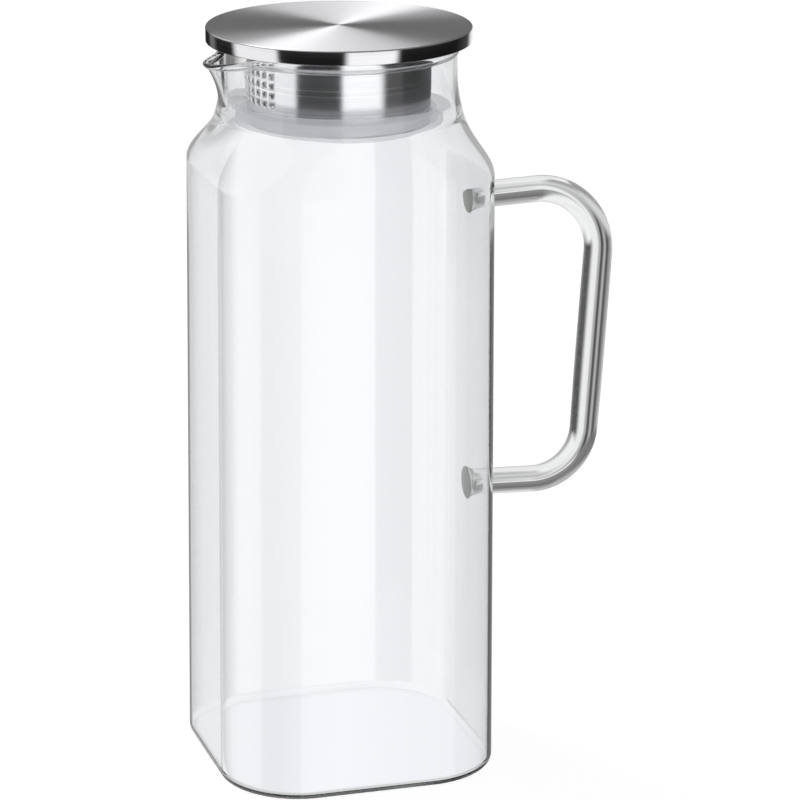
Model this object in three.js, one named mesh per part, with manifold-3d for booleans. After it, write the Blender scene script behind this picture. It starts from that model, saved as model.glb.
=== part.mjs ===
// Water carafe: a blown glass vessel with a rounded-square body, a round neck and a pinched spout,
// a bent glass rod for a handle, and a steel lid that carries a perforated strainer and a silicone seal.
// Millimetres. The origin is the centre of the base, +Z is up, +X points to the handle and -X to the spout.
import * as THREE from 'three';
import { mergeVertices } from 'three/addons/utils/BufferGeometryUtils.js';
import Module from 'manifold-3d';

// Clearance between pieces that seat on each other
const clearance = 0.3;

// Vessel body
const baseSide = 100.6;
const shoulderSide = 98.5;
const cornerRadius = 28.9;
const heelRadius = 3;
const innerHeelRadius = 2.4;
const bodyHeight = 217.9;
const wall = 1.4;
const floorThickness = 1.6;

// Shoulder, from the body up to the crease below the neck
const shoulderHeight = 18.6;
const shoulderCreaseSlope = 0.6;
const innerCreaseDrop = 1.2;

// Neck and its rim bead
const neckRadius = 41.3;
const neckHeight = 25.8;
const neckFlare = 2.4;
const boreFlare = 1.7;
const neckFlareHeight = 16;
const beadHeight = 4;
const beadBulge = 0.9;
const beadInset = 0.2;
const beadRunIn = 2;

// Spout: a narrow beak pinched out of the neck, where the rim also dips over a wider stretch
const spoutHeight = 21;
const spoutReach = 7;
const spoutHalfAngle = THREE.MathUtils.degToRad(30);
const spoutSharpness = 5;
const dipDepth = 5.3;
const dipHalfAngle = THREE.MathUtils.degToRad(38);
const dipSharpness = 1.5;

// Handle rod, in the plane of the spout
const rodDiameter = 10;
const upperArmDrop = 14.4;
const handleSpan = 107.2;
const upperReach = 49.6;
const lowerReach = 42.1;
const armSplay = THREE.MathUtils.degToRad(2.1);
const upperBendRadius = 23.5;
const lowerBendRadius = 19.2;
const weldFlare = 1.2;
const weldLength = 3;

// Lid
const lidOverhang = 5.2;
const lidHeight = 5.1;
const lidSheet = 0.8;
const lidEdgeRadius = 0.6;
const panSheet = 0.8;

// Strainer
const pourGap = 7.6;
const strainerSheet = 0.6;
const strainerDepth = 28.7;
const weldFlange = 3;
const snapRib = 0.6;
const snapRibHeight = 1.4;
const snapRibRise = 2.6;
const holeDiameter = 1.6;
const holeRowPitch = 3.5;
const holeColumnPitch = THREE.MathUtils.degToRad(7.2);
const holeColumns = 9;
const holeLowerMargin = 1;
const holeUpperMargin = 4;

// Seal
const sealTail = 0.6;
const sealHeight = 8.5;
const sealFloor = 1.6;
const sealCollar = 1.7;
const sealCollarHeight = 4.8;
const sealSkirtRoot = 1.6;
const sealLipThickness = 0.8;

// Facets
const vesselSides = 72;
const spoutCrowding = 0.4;
const lidSides = 64;
const rodSides = 16;
const rodSteps = 38;
const heelSteps = 3;
const bodySteps = 2;
const shoulderSteps = 6;
const neckSteps = 5;
const beadSteps = 8;
const edgeSteps = 3;
const holeSides = 8;

// Levels and radii that follow from the sizes above
const creaseLevel = bodyHeight + shoulderHeight;
const rimLevel = creaseLevel + neckHeight;
const boreRadius = neckRadius - wall;
const lidBottom = rimLevel + clearance;
const lidTop = lidBottom + lidHeight;
const lidRadius = neckRadius + lidOverhang;
const panRadius = lidRadius - lidSheet - clearance;
const strainerRadius = boreRadius - pourGap;
const strainerTop = lidBottom - clearance;
const strainerBottom = strainerTop - strainerDepth;
const sealBottom = strainerBottom + sealTail;
const sealTop = sealBottom + sealHeight;
const snapRibLevel = sealBottom + snapRibRise;
const upperArmLevel = bodyHeight - upperArmDrop;
const lowerArmLevel = upperArmLevel - handleSpan;

const wasm = await Module();
wasm.setup();

const glass = new THREE.MeshStandardMaterial({
  color: 0xe9eef2, roughness: 0.03, metalness: 0, transparent: true, opacity: 0.35,
});
const turnedSteel = new THREE.MeshStandardMaterial({ color: 0xb9babc, roughness: 0.3, metalness: 1 });
const plainSteel = new THREE.MeshStandardMaterial({ color: 0xa9abae, roughness: 0.22, metalness: 1 });
const silicone = new THREE.MeshStandardMaterial({ color: 0xbfc1c6, roughness: 0.5, metalness: 0 });

// A solid for joining and cutting, from any closed geometry
function solidFrom(geometry) {
  const bare = geometry.clone();
  bare.deleteAttribute('normal');
  bare.deleteAttribute('uv');
  const merged = mergeVertices(bare, 1e-4);
  const mesh = new wasm.Mesh({
    numProp: 3,
    vertProperties: new Float32Array(merged.attributes.position.array),
    triVerts: new Uint32Array(merged.index.array),
  });
  return new wasm.Manifold(mesh);
}

function geometryFrom(solid) {
  const mesh = solid.getMesh();
  const geometry = new THREE.BufferGeometry();
  geometry.setAttribute('position', new THREE.BufferAttribute(new Float32Array(mesh.vertProperties), 3));
  geometry.setIndex(new THREE.BufferAttribute(new Uint32Array(mesh.triVerts), 1));
  geometry.computeVertexNormals();
  return geometry;
}

// A turned piece: the profile's points are (radius, level), from the bottom up along its outside
function turned(profile) {
  const points = profile.map(([radius, level]) => new THREE.Vector2(radius, level));
  return new THREE.LatheGeometry(points, lidSides).rotateX(Math.PI / 2);
}

// Points of a rounded corner in a profile, from one direction angle to another
function cornerArc(radius, level, size, from, to) {
  return Array.from({ length: edgeSteps + 1 }, (_, step) => {
    const angle = from + ((to - from) * step) / edgeSteps;
    return [radius + size * Math.cos(angle), level + size * Math.sin(angle)];
  });
}

function named(name, geometry, material) {
  const mesh = new THREE.Mesh(geometry, material);
  mesh.name = name;
  return mesh;
}

// Vessel: rings of points joined into one skin, up the outside, over the rim and down the inside

// Distance from the axis to a rounded square in a given direction
function squareRadius(angle, halfSide, corner) {
  const quarter = Math.PI / 2;
  const turn = THREE.MathUtils.euclideanModulo(angle + quarter / 2, quarter) - quarter / 2;
  const fold = Math.abs(turn);
  const flat = halfSide - corner;
  if (Math.tan(fold) * halfSide <= flat) return halfSide / Math.cos(fold);
  const along = flat * (Math.cos(fold) + Math.sin(fold));
  return along + Math.sqrt(along * along - 2 * flat * flat + corner * corner);
}

// Half width of the body at a level: the sides draw in slightly towards the shoulder
function halfSideAt(level) {
  const share = THREE.MathUtils.clamp((level - heelRadius) / (bodyHeight - heelRadius), 0, 1);
  return THREE.MathUtils.lerp(baseSide, shoulderSide, share) / 2;
}

// Share of the rounded square in the section: 0 at the neck's crease, 1 at the body
function squareShare(drop) {
  const t = THREE.MathUtils.clamp(drop / shoulderHeight, 0, 1);
  const ease = t * t * (3 - 2 * t);
  return ease + shoulderCreaseSlope * t * (1 - t) * (1 - t);
}

// How strongly a pinch acts in a given direction: 1 along the spout's middle, 0 past the half angle
function pinchShare(angle, halfAngle, sharpness) {
  const away = Math.abs(THREE.MathUtils.euclideanModulo(angle, 2 * Math.PI) - Math.PI);
  if (away >= halfAngle) return 0;
  return Math.cos((Math.PI / 2) * (away / halfAngle)) ** sharpness;
}

// A point of the neck, pulled out and down where the spout is
function neckPoint(angle, radius, level) {
  const rise = THREE.MathUtils.clamp((level - rimLevel + spoutHeight) / spoutHeight, 0, 1);
  const reach = spoutReach * rise * pinchShare(angle, spoutHalfAngle, spoutSharpness);
  const dip = dipDepth * rise * rise * pinchShare(angle, dipHalfAngle, dipSharpness);
  return [angle, radius + reach, level - dip];
}

// One loop of points round the axis, closer together towards the spout
function ring(place) {
  return Array.from({ length: vesselSides }, (_, side) => {
    const turn = (2 * Math.PI * side) / vesselSides;
    const [angle, radius, level] = place(turn + spoutCrowding * Math.sin(turn));
    return new THREE.Vector3(radius * Math.cos(angle), radius * Math.sin(angle), level);
  });
}

function bodyRing(level, inset) {
  const halfSide = halfSideAt(level) - inset;
  return ring((angle) => [angle, squareRadius(angle, halfSide, cornerRadius - inset), level]);
}

// Rings of the rounded edge between the base or floor and the side walls
function heelRings(floorLevel, inset, radius) {
  return Array.from({ length: heelSteps + 1 }, (_, step) => {
    const angle = (Math.PI / 2) * (step / heelSteps);
    const level = floorLevel + radius * (1 - Math.sin(angle));
    return bodyRing(level, inset + radius * (1 - Math.cos(angle)));
  }).reverse();
}

function shoulderRings(crease, roundRadius, inset) {
  return Array.from({ length: shoulderSteps + 1 }, (_, step) => {
    const drop = shoulderHeight * (1 - step / shoulderSteps);
    const share = squareShare(drop);
    const level = crease - drop;
    const halfSide = halfSideAt(level) - inset;
    return ring((angle) => {
      const square = squareRadius(angle, halfSide, cornerRadius - inset);
      return [angle, THREE.MathUtils.lerp(roundRadius, square, share), level];
    });
  });
}

// How much the neck flares at a level: fully at the crease and below, not at all where it runs straight
function flareShare(level) {
  const away = THREE.MathUtils.clamp(1 - (level - creaseLevel) / neckFlareHeight, 0, 1);
  return away * away;
}

function neckOuterRadius(level) {
  return neckRadius + neckFlare * flareShare(level);
}

function neckInnerRadius(level) {
  return boreRadius + boreFlare * flareShare(level);
}

// Rings of the neck from above the crease up to the straight run-in below the bead
function neckRings(from, radiusAt) {
  const to = rimLevel - beadHeight - beadRunIn;
  return Array.from({ length: neckSteps }, (_, step) => {
    const level = THREE.MathUtils.lerp(from, to, (step + 1) / neckSteps);
    return ring((angle) => neckPoint(angle, radiusAt(level), level));
  });
}

// The fire-polished rim: most of an ellipse in section, fuller than the wall, mainly on the outside
function beadRings() {
  const halfWidth = (beadInset + wall + beadBulge) / 2;
  const middle = neckRadius + beadBulge - halfWidth;
  const outerFoot = Math.acos((neckRadius - middle) / halfWidth);
  const innerFoot = Math.acos((middle - boreRadius) / halfWidth);
  return Array.from({ length: beadSteps + 1 }, (_, step) => {
    const turn = THREE.MathUtils.lerp(-outerFoot, Math.PI + innerFoot, step / beadSteps);
    const level = rimLevel - (beadHeight / 2) * (1 - Math.sin(turn));
    return ring((angle) => neckPoint(angle, middle + halfWidth * Math.cos(turn), level));
  });
}

function skin(bottomLevel, rings, floorLevel) {
  const positions = [0, 0, bottomLevel];
  for (const loop of rings) {
    for (const point of loop) positions.push(point.x, point.y, point.z);
  }
  positions.push(0, 0, floorLevel);
  const last = positions.length / 3 - 1;
  const at = (row, side) => 1 + row * vesselSides + (side % vesselSides);
  const index = [];
  for (let side = 0; side < vesselSides; side += 1) {
    index.push(0, at(0, side + 1), at(0, side));
    for (let row = 0; row < rings.length - 1; row += 1) {
      index.push(at(row, side), at(row, side + 1), at(row + 1, side + 1));
      index.push(at(row, side), at(row + 1, side + 1), at(row + 1, side));
    }
    index.push(at(rings.length - 1, side), at(rings.length - 1, side + 1), last);
  }
  const geometry = new THREE.BufferGeometry();
  geometry.setAttribute('position', new THREE.Float32BufferAttribute(positions, 3));
  geometry.setIndex(index);
  geometry.computeVertexNormals();
  return geometry;
}

function wallRings(from, to, inset) {
  return Array.from({ length: bodySteps - 1 }, (_, step) => {
    return bodyRing(THREE.MathUtils.lerp(from, to, (step + 1) / bodySteps), inset);
  });
}

function vessel() {
  const innerCrease = creaseLevel - innerCreaseDrop;
  const outside = [
    ...heelRings(0, 0, heelRadius),
    ...wallRings(heelRadius, bodyHeight, 0),
    ...shoulderRings(creaseLevel, neckOuterRadius(creaseLevel), 0),
    ...neckRings(creaseLevel, neckOuterRadius),
  ];
  const inside = [
    ...heelRings(floorThickness, wall, innerHeelRadius),
    ...wallRings(floorThickness + innerHeelRadius, innerCrease - shoulderHeight, wall),
    ...shoulderRings(innerCrease, neckInnerRadius(innerCrease), wall),
    ...neckRings(innerCrease, neckInnerRadius),
  ];
  return skin(0, [...outside, ...beadRings(), ...inside.reverse()], floorThickness);
}

// Handle: one round rod swept through two bends, with a flared weld at each end

// A flared weld round the rod's end, which runs on into the wall until it is trimmed
function weld(level, climb) {
  const radius = rodDiameter / 2;
  const profile = [
    [0, -weldLength],
    [radius + weldFlare, -weldLength],
    [radius + weldFlare, 0],
    [radius + weldFlare / 4, weldLength / 3],
    [radius, weldLength],
    [0, weldLength],
  ];
  const points = profile.map(([across, along]) => new THREE.Vector2(across, along));
  const flare = new THREE.LatheGeometry(points, rodSides);
  flare.rotateZ(-Math.PI / 2).rotateY(-climb);
  return flare.translate(halfSideAt(level) + clearance, 0, level);
}

// A bend as a smooth curve between two straight runs that meet at a corner
function bend(corner, before, after, radius) {
  const turn = before.angleTo(after);
  const reach = radius * Math.tan(turn / 2);
  const pull = (4 / 3) * Math.tan(turn / 4) * radius;
  const start = corner.clone().addScaledVector(before, -reach);
  const end = corner.clone().addScaledVector(after, reach);
  return new THREE.CubicBezierCurve3(
    start,
    start.clone().addScaledVector(before, pull),
    end.clone().addScaledVector(after, -pull),
    end,
  );
}

// What is cut off one end of the rod so that it ends flush with the wall, a clearance away from it
function trim(level) {
  const size = 4 * rodDiameter;
  const box = new THREE.BoxGeometry(size, size, size);
  return box.translate(halfSideAt(level) + clearance - size / 2, 0, level);
}

function handle() {
  const upperFoot = new THREE.Vector3(halfSideAt(upperArmLevel) + clearance, 0, upperArmLevel);
  const lowerFoot = new THREE.Vector3(halfSideAt(lowerArmLevel) + clearance, 0, lowerArmLevel);
  const outwards = new THREE.Vector3(Math.cos(armSplay), 0, Math.sin(armSplay));
  const inwards = new THREE.Vector3(-Math.cos(armSplay), 0, Math.sin(armSplay));
  const upperCorner = upperFoot.clone().addScaledVector(outwards, upperReach);
  const lowerCorner = lowerFoot.clone().addScaledVector(inwards, -lowerReach);
  const down = lowerCorner.clone().sub(upperCorner).normalize();
  const upperBend = bend(upperCorner, outwards, down, upperBendRadius);
  const lowerBend = bend(lowerCorner, down, inwards, lowerBendRadius);
  const path = new THREE.CurvePath();
  path.add(new THREE.LineCurve3(upperFoot.clone().addScaledVector(outwards, -weldLength), upperBend.v0));
  path.add(upperBend);
  path.add(new THREE.LineCurve3(upperBend.v3, lowerBend.v0));
  path.add(lowerBend);
  path.add(new THREE.LineCurve3(lowerBend.v3, lowerFoot.clone().addScaledVector(inwards, weldLength)));
  const section = new THREE.Shape().absarc(0, 0, rodDiameter / 2, 0, 2 * Math.PI, false);
  const rod = new THREE.ExtrudeGeometry(section, {
    steps: rodSteps, curveSegments: rodSides / 2, extrudePath: path,
  });
  const welds = solidFrom(weld(upperArmLevel, armSplay)).add(solidFrom(weld(lowerArmLevel, -armSplay)));
  const trims = solidFrom(trim(upperArmLevel)).add(solidFrom(trim(lowerArmLevel)));
  return geometryFrom(solidFrom(rod).add(welds).subtract(trims));
}

// Lid: the cap is an upside-down dish, and the pan nests inside its rim

function lidCap() {
  const inner = lidRadius - lidSheet;
  return turned([
    [0, lidTop - lidSheet],
    [inner, lidTop - lidSheet],
    [inner, lidBottom],
    ...cornerArc(lidRadius - lidSheet / 2, lidBottom + lidSheet / 2, lidSheet / 2, -Math.PI / 2, 0),
    ...cornerArc(lidRadius - lidEdgeRadius, lidTop - lidEdgeRadius, lidEdgeRadius, 0, Math.PI / 2),
    [0, lidTop],
  ]);
}

function lidPan() {
  const upturn = lidTop - lidSheet - clearance;
  return turned([
    [0, lidBottom],
    ...cornerArc(panRadius - panSheet, lidBottom + panSheet, panSheet, -Math.PI / 2, 0),
    [panRadius, upturn],
    [panRadius - panSheet, upturn],
    [panRadius - panSheet, lidBottom + panSheet],
    [0, lidBottom + panSheet],
  ]);
}

// Strainer: a thin cylinder with a weld flange on top, a snap rib for the seal and holes towards the spout

function strainerHoles() {
  const lowest = sealTop + holeLowerMargin;
  const highest = strainerTop - holeUpperMargin;
  const rows = Math.floor((highest - lowest) / holeRowPitch) + 1;
  const punchLength = 8 * strainerSheet;
  const punch = new THREE.CylinderGeometry(holeDiameter / 2, holeDiameter / 2, punchLength, holeSides);
  punch.rotateZ(Math.PI / 2).translate(-strainerRadius, 0, 0);
  const holes = [];
  for (let row = 0; row < rows; row += 1) {
    for (let column = 0; column < holeColumns; column += 1) {
      const turn = (column - (holeColumns - 1) / 2) * holeColumnPitch;
      const place = new THREE.Matrix4().makeRotationZ(turn);
      place.setPosition(0, 0, lowest + row * holeRowPitch);
      holes.push(punch.clone().applyMatrix4(place));
    }
  }
  return holes;
}

function strainer() {
  const outer = strainerRadius;
  const inner = outer - strainerSheet;
  const flangeRadius = outer + weldFlange;
  const blank = solidFrom(turned([
    [inner, strainerBottom],
    [outer, strainerBottom],
    [outer, snapRibLevel - snapRibHeight / 2],
    [outer + snapRib, snapRibLevel],
    [outer, snapRibLevel + snapRibHeight / 2],
    [outer, strainerTop - strainerSheet],
    [flangeRadius, strainerTop - strainerSheet],
    [flangeRadius, strainerTop],
    [inner, strainerTop],
    [inner, strainerBottom],
  ]));
  return geometryFrom(strainerHoles().reduce((solid, hole) => solid.subtract(solidFrom(hole)), blank));
}

// Seal: a collar that snaps over the strainer's rib, and a cupped skirt whose thin lip meets the bore

function sealRing() {
  const grip = strainerRadius + clearance;
  const lip = boreRadius - beadInset - clearance;
  const cupFloor = sealBottom + sealFloor;
  return turned([
    [grip, sealBottom],
    [lip, sealBottom],
    [lip, sealTop],
    [lip - sealLipThickness, sealTop],
    [lip - sealSkirtRoot, cupFloor],
    [grip + sealCollar, cupFloor],
    [grip + sealCollar, sealBottom + sealCollarHeight],
    [grip, sealBottom + sealCollarHeight],
    [grip, snapRibLevel + snapRibHeight / 2 + clearance],
    [grip + snapRib, snapRibLevel],
    [grip, snapRibLevel - snapRibHeight / 2 - clearance],
    [grip, sealBottom],
  ]);
}

const carafe = new THREE.Group();
carafe.add(
  named('vessel', vessel(), glass),
  named('handle', handle(), glass),
  named('lid_cap', lidCap(), turnedSteel),
  named('lid_pan', lidPan(), plainSteel),
  named('strainer', strainer(), plainSteel),
  named('seal_ring', sealRing(), silicone),
);

export default carafe;
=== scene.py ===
"""Looks of the water carafe: clear glass vessel and rod handle, turned steel lid, strainer and seal."""

import math

import bmesh
import bpy
from mathutils import Matrix, Vector


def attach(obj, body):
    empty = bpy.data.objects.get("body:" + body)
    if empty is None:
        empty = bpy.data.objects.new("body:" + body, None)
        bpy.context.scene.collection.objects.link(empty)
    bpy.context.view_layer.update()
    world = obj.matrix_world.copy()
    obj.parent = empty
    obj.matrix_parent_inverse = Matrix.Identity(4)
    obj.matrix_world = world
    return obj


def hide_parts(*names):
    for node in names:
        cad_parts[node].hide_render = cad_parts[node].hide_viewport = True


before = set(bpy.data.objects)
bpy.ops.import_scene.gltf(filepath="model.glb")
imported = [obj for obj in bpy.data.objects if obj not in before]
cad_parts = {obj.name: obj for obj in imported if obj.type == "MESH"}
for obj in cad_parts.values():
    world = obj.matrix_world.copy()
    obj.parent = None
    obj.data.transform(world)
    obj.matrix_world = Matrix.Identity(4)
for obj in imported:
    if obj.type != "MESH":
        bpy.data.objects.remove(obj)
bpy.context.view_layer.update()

# Sizes in millimetres, the same as the solids
MM = 0.001
BASE_SIDE = 100.6
SHOULDER_SIDE = 98.5
CORNER_RADIUS = 28.9
HEEL_RADIUS = 3.0
INNER_HEEL_RADIUS = 2.4
BODY_HEIGHT = 217.9
WALL = 1.4
FLOOR_THICKNESS = 1.6
SHOULDER_HEIGHT = 18.6
SHOULDER_CREASE_SLOPE = 0.6
INNER_CREASE_DROP = 1.2
NECK_RADIUS = 41.3
NECK_HEIGHT = 25.8
NECK_FLARE = 2.4
BORE_FLARE = 1.7
NECK_FLARE_HEIGHT = 16.0
BEAD_HEIGHT = 4.0
BEAD_BULGE = 0.9
BEAD_INSET = 0.2
SPOUT_HEIGHT = 21.0
SPOUT_REACH = 7.0
SPOUT_HALF_ANGLE = math.radians(30)
SPOUT_SHARPNESS = 5.0
DIP_DEPTH = 5.3
DIP_HALF_ANGLE = math.radians(38)
DIP_SHARPNESS = 1.5
ROD_DIAMETER = 10.0
UPPER_ARM_DROP = 14.4
HANDLE_SPAN = 107.2
UPPER_REACH = 49.6
LOWER_REACH = 42.1
ARM_SPLAY = math.radians(2.1)
UPPER_BEND_RADIUS = 23.5
LOWER_BEND_RADIUS = 19.2
WELD_FLARE = 1.2
WELD_LENGTH = 3.0
LID_OVERHANG = 5.2
LID_HEIGHT = 5.1
LID_SHEET = 0.8
LID_EDGE_RADIUS = 0.6
PAN_SHEET = 0.8
POUR_GAP = 7.6
STRAINER_SHEET = 0.6
STRAINER_DEPTH = 28.7
WELD_FLANGE = 3.0
SNAP_RIB = 0.6
SNAP_RIB_HEIGHT = 1.4
SNAP_RIB_RISE = 2.6
HOLE_DIAMETER = 1.6
HOLE_ROW_PITCH = 3.5
HOLE_COLUMN_PITCH = math.radians(7.2)
HOLE_COLUMNS = 9
HOLE_LOWER_MARGIN = 1.0
HOLE_UPPER_MARGIN = 4.0
SEAL_TAIL = 0.6
SEAL_HEIGHT = 8.5
SEAL_FLOOR = 1.6
SEAL_COLLAR = 1.7
SEAL_COLLAR_HEIGHT = 4.8
SEAL_SKIRT_ROOT = 1.6
SEAL_LIP_THICKNESS = 0.8
CLEARANCE = 0.3

CREASE_LEVEL = BODY_HEIGHT + SHOULDER_HEIGHT
RIM_LEVEL = CREASE_LEVEL + NECK_HEIGHT
BORE_RADIUS = NECK_RADIUS - WALL
LID_BOTTOM = RIM_LEVEL + CLEARANCE
LID_TOP = LID_BOTTOM + LID_HEIGHT
LID_RADIUS = NECK_RADIUS + LID_OVERHANG
PAN_RADIUS = LID_RADIUS - LID_SHEET - CLEARANCE
STRAINER_RADIUS = BORE_RADIUS - POUR_GAP
STRAINER_TOP = LID_BOTTOM - CLEARANCE
STRAINER_BOTTOM = STRAINER_TOP - STRAINER_DEPTH
SEAL_BOTTOM = STRAINER_BOTTOM + SEAL_TAIL
SEAL_TOP = SEAL_BOTTOM + SEAL_HEIGHT
SNAP_RIB_LEVEL = SEAL_BOTTOM + SNAP_RIB_RISE
UPPER_ARM_LEVEL = BODY_HEIGHT - UPPER_ARM_DROP
LOWER_ARM_LEVEL = UPPER_ARM_LEVEL - HANDLE_SPAN

# Finer forms that the scene adds, in millimetres
BEAD_FOOT_GAP = 0.1
WELD_FADE = 0.55
WELD_FADE_POWER = 1.4
ARM_THINNING = 0.2
ARM_THIN_SPAN = (20, 50)
GRIP_THICKENING = 0.25
GRIP_THICK_SPAN = (40, 80)
SNAP_RIB_RUN = 0.3
SNAP_RIB_CROWN = 0.25
FLANGE_BEND = ((0.15, 0.3), (0.5, 0.0))
SEAL_LIP_REACH = 2.7
SEAL_LIP_RISE = 3.0
SEAL_DROOP = 0.6
LIP_SAGS = ((3.6, math.radians(16)), (2.0, math.radians(128)))
LIP_SAG_SHARPNESS = 8
SEAL_SOFT_EDGE = 0.35
FUSE_GAP = 0.03

# Fineness of the smooth meshes
VESSEL_SIDES = 320
SPOUT_CROWDING = 0.4
LATHE_SIDES = 256
ROD_SIDES = 48
BEND_STEPS = 28
GRIP_STEPS = 16
ARM_SHARES = (0, 0.012, 0.025, 0.04, 0.06, 0.085, 0.12, 0.17, 0.25, 0.4, 0.6, 0.8)
FLOOR_SHARES = (0.02, 0.3, 0.6, 0.85, 0.96)
LID_EDGE_STEPS = 8
HOLE_CELL_STEPS = 4
HEEL_STEPS = 12
BODY_STEPS = 12
SHOULDER_STEPS = 30
NECK_STEPS = 24
BEAD_STEPS = 36


def lerp(a, b, t):
    return a + (b - a) * t


def clamp(t):
    return min(1.0, max(0.0, t))


def smooth(t):
    t = clamp(t)
    return t * t * (3 - 2 * t)


def smooth_share(value, span):
    start, end = span
    return smooth((value - start) / (end - start))


# Meshes


def add_piece(name, points, faces, material, body, node, slot):
    """A smooth-shaded piece from points in millimetres, which stands for a CAD node."""
    mesh = bpy.data.meshes.new(name)
    mesh.from_pydata([(x * MM, y * MM, z * MM) for x, y, z in points], [], faces)
    mesh.validate()
    mesh.polygons.foreach_set("use_smooth", [True] * len(mesh.polygons))
    mesh.materials.append(material)
    piece = bpy.data.objects.new(name, mesh)
    bpy.context.scene.collection.objects.link(piece)
    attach(piece, body)
    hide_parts(node)
    return piece


def loft(rings, close_rows=False):
    """Points and faces of a skin over rings of equal length, each ring running the same way round."""
    count = len(rings[0])
    points = [p for r in rings for p in r]
    faces = []
    rows = len(rings) if close_rows else len(rings) - 1
    for row in range(rows):
        above = (row + 1) % len(rings)
        for side in range(count):
            follow = (side + 1) % count
            faces.append((
                row * count + side, row * count + follow, above * count + follow, above * count + side,
            ))
    return points, faces


def lathe(profile):
    """A closed profile of (radius, level) points turned round the axis."""
    rings = []
    for radius, level in profile:
        ring = []
        for side in range(LATHE_SIDES):
            angle = 2 * math.pi * side / LATHE_SIDES
            ring.append((radius * math.cos(angle), radius * math.sin(angle), level))
        rings.append(ring)
    return loft(rings, close_rows=True)


def disc_lathe(profile):
    """A profile that starts and ends on the axis, turned round it."""
    points, faces = lathe(profile[1:-1])
    last = (len(profile) - 3) * LATHE_SIDES
    faces = faces[:last]
    bottom = len(points)
    top = bottom + 1
    points += [(0.0, 0.0, profile[0][1]), (0.0, 0.0, profile[-1][1])]
    for side in range(LATHE_SIDES):
        follow = (side + 1) % LATHE_SIDES
        faces.append((bottom, follow, side))
        faces.append((top, last + side, last + follow))
    return points, faces


def rounded(profile, radius, steps=4, closed=True):
    """The profile with each corner rounded off by up to the given radius."""
    out = []
    count = len(profile)
    for i, (x, y) in enumerate(profile):
        if not closed and i in (0, count - 1):
            out.append((x, y))
            continue
        here = Vector((x, y))
        before = Vector(profile[i - 1]) - here
        after = Vector(profile[(i + 1) % count]) - here
        reach = min(radius, before.length * 0.45, after.length * 0.45)
        start = here + before.normalized() * reach
        end = here + after.normalized() * reach
        for step in range(steps + 1):
            t = step / steps
            p = start * (1 - t) * (1 - t) + here * 2 * t * (1 - t) + end * t * t
            out.append((p.x, p.y))
    return out


# Vessel


def square_radius(angle, half_side, corner):
    quarter = math.pi / 2
    fold = abs((angle + quarter / 2) % quarter - quarter / 2)
    flat = half_side - corner
    if math.tan(fold) * half_side <= flat:
        return half_side / math.cos(fold)
    along = flat * (math.cos(fold) + math.sin(fold))
    return along + math.sqrt(along * along - 2 * flat * flat + corner * corner)


def half_side_at(level):
    share = clamp((level - HEEL_RADIUS) / (BODY_HEIGHT - HEEL_RADIUS))
    return lerp(BASE_SIDE, SHOULDER_SIDE, share) / 2


def square_share(drop):
    t = clamp(drop / SHOULDER_HEIGHT)
    return t * t * (3 - 2 * t) + SHOULDER_CREASE_SLOPE * t * (1 - t) * (1 - t)


def pinch_share(angle, half_angle, sharpness):
    away = abs(angle % (2 * math.pi) - math.pi)
    if away >= half_angle:
        return 0.0
    return math.cos(math.pi / 2 * away / half_angle) ** sharpness


def neck_point(angle, radius, level):
    rise = clamp((level - RIM_LEVEL + SPOUT_HEIGHT) / SPOUT_HEIGHT)
    reach = SPOUT_REACH * rise * pinch_share(angle, SPOUT_HALF_ANGLE, SPOUT_SHARPNESS)
    dip = DIP_DEPTH * rise * rise * pinch_share(angle, DIP_HALF_ANGLE, DIP_SHARPNESS)
    return radius + reach, level - dip


def vessel_ring(place):
    ring = []
    for side in range(VESSEL_SIDES):
        turn = 2 * math.pi * side / VESSEL_SIDES
        angle = turn + SPOUT_CROWDING * math.sin(turn)
        radius, level = place(angle)
        ring.append((radius * math.cos(angle), radius * math.sin(angle), level))
    return ring


def body_ring(level, inset):
    half_side = half_side_at(level) - inset
    return vessel_ring(lambda angle: (square_radius(angle, half_side, CORNER_RADIUS - inset), level))


def floor_rings(level, half_side, corner):
    """Rings of a flat floor, from near the axis out to just before its rounded edge."""
    rings = []
    for share in FLOOR_SHARES:
        rings.append(vessel_ring(lambda a, s=share: (s * square_radius(a, half_side, corner), level)))
    return rings


def heel_rings(floor_level, inset, radius):
    rings = []
    for step in range(HEEL_STEPS + 1):
        angle = math.pi / 2 * (1 - step / HEEL_STEPS)
        level = floor_level + radius * (1 - math.sin(angle))
        rings.append(body_ring(level, inset + radius * (1 - math.cos(angle))))
    return rings


def wall_rings(start, end, inset):
    return [body_ring(lerp(start, end, step / BODY_STEPS), inset) for step in range(1, BODY_STEPS)]


def shoulder_rings(crease, round_radius, inset):
    rings = []
    for step in range(SHOULDER_STEPS + 1):
        drop = SHOULDER_HEIGHT * (1 - step / SHOULDER_STEPS)
        share = square_share(drop)
        level = crease - drop
        half_side = half_side_at(level) - inset
        rings.append(vessel_ring(lambda a, s=share, h=half_side, z=level: (
            lerp(round_radius, square_radius(a, h, CORNER_RADIUS - inset), s), z)))
    return rings


def flare_share(level):
    return clamp(1 - (level - CREASE_LEVEL) / NECK_FLARE_HEIGHT) ** 2


def neck_outer_radius(level):
    return NECK_RADIUS + NECK_FLARE * flare_share(level)


def neck_inner_radius(level):
    return BORE_RADIUS + BORE_FLARE * flare_share(level)


def neck_rings(start, radius_at):
    rings = []
    stop = RIM_LEVEL - BEAD_HEIGHT - BEAD_FOOT_GAP
    for step in range(1, NECK_STEPS + 1):
        level = lerp(start, stop, step / NECK_STEPS)
        rings.append(vessel_ring(lambda a, z=level: neck_point(a, radius_at(z), z)))
    return rings


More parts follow.
